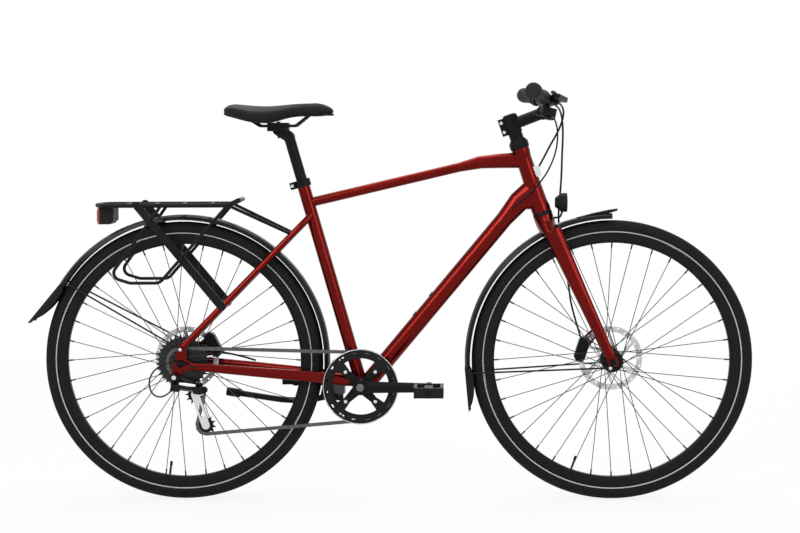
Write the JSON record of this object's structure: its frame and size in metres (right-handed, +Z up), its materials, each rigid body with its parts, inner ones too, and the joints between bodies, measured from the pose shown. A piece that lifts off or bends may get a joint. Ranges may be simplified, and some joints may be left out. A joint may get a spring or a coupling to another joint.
{
  "type": "hybrid bike",
  "caption": "Rigid flat-bar hybrid bike with derailleur gearing, hydraulic disc brakes, mudguards, rear rack, lights and folding kickstand.",
  "frame": {"origin": "on the ground, in the bike's mid-plane, midway between its front and rear ends", "axes": "+X forward, +Y to the rider's left, +Z up"},
  "size_m": [1.8012, 0.6172, 1.0291],
  "materials": {
    "frame_paint": "gloss metallic paint",
    "black_paint": "satin black coat",
    "alloy": "satin",
    "steel": "satin",
    "tyre": "matte",
    "grip_rubber": "matte",
    "black_plastic": "matte",
    "saddle_skin": "matte",
    "clear_lens": "clear gloss",
    "red_lens": "gloss",
    "white_reflector": "gloss"
  },
  "bodies": {
    "frame": {"frame": "frame_paint", "bearing_cups": "black_paint", "bottle_bosses": "alloy", "seat_clamp": "black_paint", "rear_axle": "steel", "rear_caliper": "black_paint", "derailleur_bracket": "black_paint", "rear_rack": "black_paint", "rear_light": "black_plastic", "rear_light_lens": "red_lens", "rear_fender": "black_plastic", "head_reflector": "white_reflector", "chain": "steel", "rear_brake_hose": "black_plastic", "shift_cable": "black_plastic"},
    "steering": {"fork": "frame_paint", "front_caliper": "black_paint", "headset_spacers": "black_paint", "stem": "black_paint", "handlebar": "black_paint", "grips": "grip_rubber", "brake_lever_brackets": "black_paint", "shifter_body": "black_plastic", "bell": "black_paint", "front_axle": "steel", "front_fender": "black_plastic", "front_light": "black_plastic", "front_light_lens": "clear_lens", "front_brake_hose": "black_plastic"},
    "front_wheel": {"front_tyre": "tyre", "front_rim": "black_paint", "front_spokes": "steel", "front_rotor": "steel", "front_hub": "black_paint"},
    "rear_wheel": {"rear_tyre": "tyre", "rear_rim": "black_paint", "rear_spokes": "steel", "rear_rotor": "steel", "rear_hub": "black_paint"},
    "sprockets": {"cassette": "steel"},
    "crankset": {"right_crank": "black_paint", "left_crank": "black_paint", "chainring": "black_paint", "chain_guard": "black_plastic"},
    "left_pedal": {"left_pedal": "black_plastic"},
    "right_pedal": {"right_pedal": "black_plastic"},
    "left_lever": {"left_brake_lever": "black_paint"},
    "right_lever": {"right_brake_lever": "black_paint"},
    "thumb_lever": {"shift_thumb_lever": "black_plastic"},
    "release_lever": {"shift_release_lever": "black_plastic"},
    "outer_link": {"derailleur_outer_link": "black_paint"},
    "inner_link": {"derailleur_inner_link": "alloy"},
    "knuckle": {"derailleur_knuckle": "black_paint"},
    "cage": {"derailleur_cage": "alloy"},
    "guide_pulley": {"guide_pulley": "black_plastic"},
    "tension_pulley": {"tension_pulley": "black_plastic"},
    "kickstand": {"kickstand_leg": "black_paint"},
    "seat": {"seatpost": "black_paint", "saddle_base": "black_plastic", "saddle_cover": "saddle_skin"}
  },
  "joints": [
    {"name": "steering_turn", "type": "hinge", "parent": "frame", "child": "steering", "pos_m": [0.51143, 0, 0.33325], "axis": [-0.3206, 0, 0.9472], "range_deg": [-60, 60], "deforming": ["rear_brake_hose", "shift_cable"]},
    {"name": "front_wheel_spin", "type": "hinge", "parent": "steering", "child": "front_wheel", "pos_m": [0.555, 0, 0.348], "axis": [0, 1, 0], "continuous": true},
    {"name": "rear_wheel_spin", "type": "hinge", "parent": "frame", "child": "rear_wheel", "pos_m": [-0.511, 0, 0.348], "axis": [0, 1, 0], "continuous": true},
    {"name": "crank_spin", "type": "hinge", "parent": "frame", "child": "crankset", "pos_m": [-0.06804, 0, 0.288], "axis": [0, 1, 0], "continuous": true, "deforming": ["chain"]},
    {"name": "cassette_spin", "type": "hinge", "parent": "frame", "child": "sprockets", "pos_m": [-0.511, 0, 0.348], "axis": [0, 1, 0], "continuous": true},
    {"name": "right_pedal_spin", "type": "hinge", "parent": "crankset", "child": "right_pedal", "pos_m": [0.10196, 0, 0.288], "axis": [0, 1, 0], "continuous": true},
    {"name": "left_pedal_spin", "type": "hinge", "parent": "crankset", "child": "left_pedal", "pos_m": [-0.23805, 0, 0.288], "axis": [0, 1, 0], "continuous": true},
    {"name": "left_lever_squeeze", "type": "hinge", "parent": "steering", "child": "left_lever", "pos_m": [0.40791, 0.19096, 0.99125], "axis": [0.2076, -0.057, 0.9766], "range_deg": [0, 14], "stiffness_Nm_per_rad": 6, "springref_deg": -2.86},
    {"name": "right_lever_squeeze", "type": "hinge", "parent": "steering", "child": "right_lever", "pos_m": [0.40791, -0.19096, 0.99125], "axis": [-0.2076, -0.057, -0.9766], "range_deg": [0, 14], "stiffness_Nm_per_rad": 6, "springref_deg": -2.86},
    {"name": "thumb_lever_push", "type": "hinge", "parent": "steering", "child": "thumb_lever", "pos_m": [0.39165, -0.15321, 0.96178], "axis": [0.2076, 0.057, 0.9766], "range_deg": [0, 25], "stiffness_Nm_per_rad": 0.6, "springref_deg": -5.73},
    {"name": "release_lever_pull", "type": "hinge", "parent": "steering", "child": "release_lever", "pos_m": [0.39165, -0.15321, 0.96178], "axis": [-0.2076, -0.057, -0.9766], "range_deg": [0, 18], "stiffness_Nm_per_rad": 0.6, "springref_deg": -5.73},
    {"name": "derailleur_swing", "type": "hinge", "parent": "frame", "child": "outer_link", "pos_m": [-0.5165, -0.08685, 0.29778], "axis": [0, 0.6428, 0.766], "range_deg": [-20, 33], "stiffness_Nm_per_rad": 2.5, "deforming": ["chain", "shift_cable"]},
    {"name": "derailleur_inner_swing", "type": "hinge", "parent": "frame", "child": "inner_link", "pos_m": [-0.5195, -0.07716, 0.28965], "axis": [0, 0.6428, 0.766], "range_deg": [-20, 33]},
    {"name": "knuckle_swing", "type": "hinge", "parent": "outer_link", "child": "knuckle", "pos_m": [-0.4725, -0.07884, 0.29107], "axis": [0, 0.6428, 0.766], "range_deg": [-33, 20]},
    {"name": "cage_swing", "type": "hinge", "parent": "knuckle", "child": "cage", "pos_m": [-0.455, -0.06, 0.281], "axis": [0, 1, 0], "range_deg": [-20, 35], "stiffness_Nm_per_rad": 1.5, "deforming": ["chain"]},
    {"name": "guide_pulley_spin", "type": "hinge", "parent": "cage", "child": "guide_pulley", "pos_m": [-0.47836, -0.047, 0.26865], "axis": [0, 1, 0], "continuous": true},
    {"name": "tension_pulley_spin", "type": "hinge", "parent": "cage", "child": "tension_pulley", "pos_m": [-0.45282, -0.047, 0.19179], "axis": [0, 1, 0], "continuous": true},
    {"name": "kickstand_swing", "type": "hinge", "parent": "frame", "child": "kickstand", "pos_m": [-0.127, 0.042, 0.262], "axis": [-0.0966, -0.897, -0.4314], "range_deg": [0, 61]},
    {"name": "saddle_height", "type": "slide", "parent": "frame", "child": "seat", "axis": [-0.274, 0, 0.9617], "range_m": [-0.08, 0.04]}
  ],
  "couplings": [
    {"joint": "cassette_spin", "follows": "crank_spin", "ratio": 2.3333},
    {"joint": "guide_pulley_spin", "follows": "crank_spin", "ratio": -3.8182},
    {"joint": "tension_pulley_spin", "follows": "crank_spin", "ratio": 3.8182},
    {"joint": "derailleur_inner_swing", "follows": "derailleur_swing", "ratio": 1},
    {"joint": "knuckle_swing", "follows": "derailleur_swing", "ratio": -1}
  ]
}
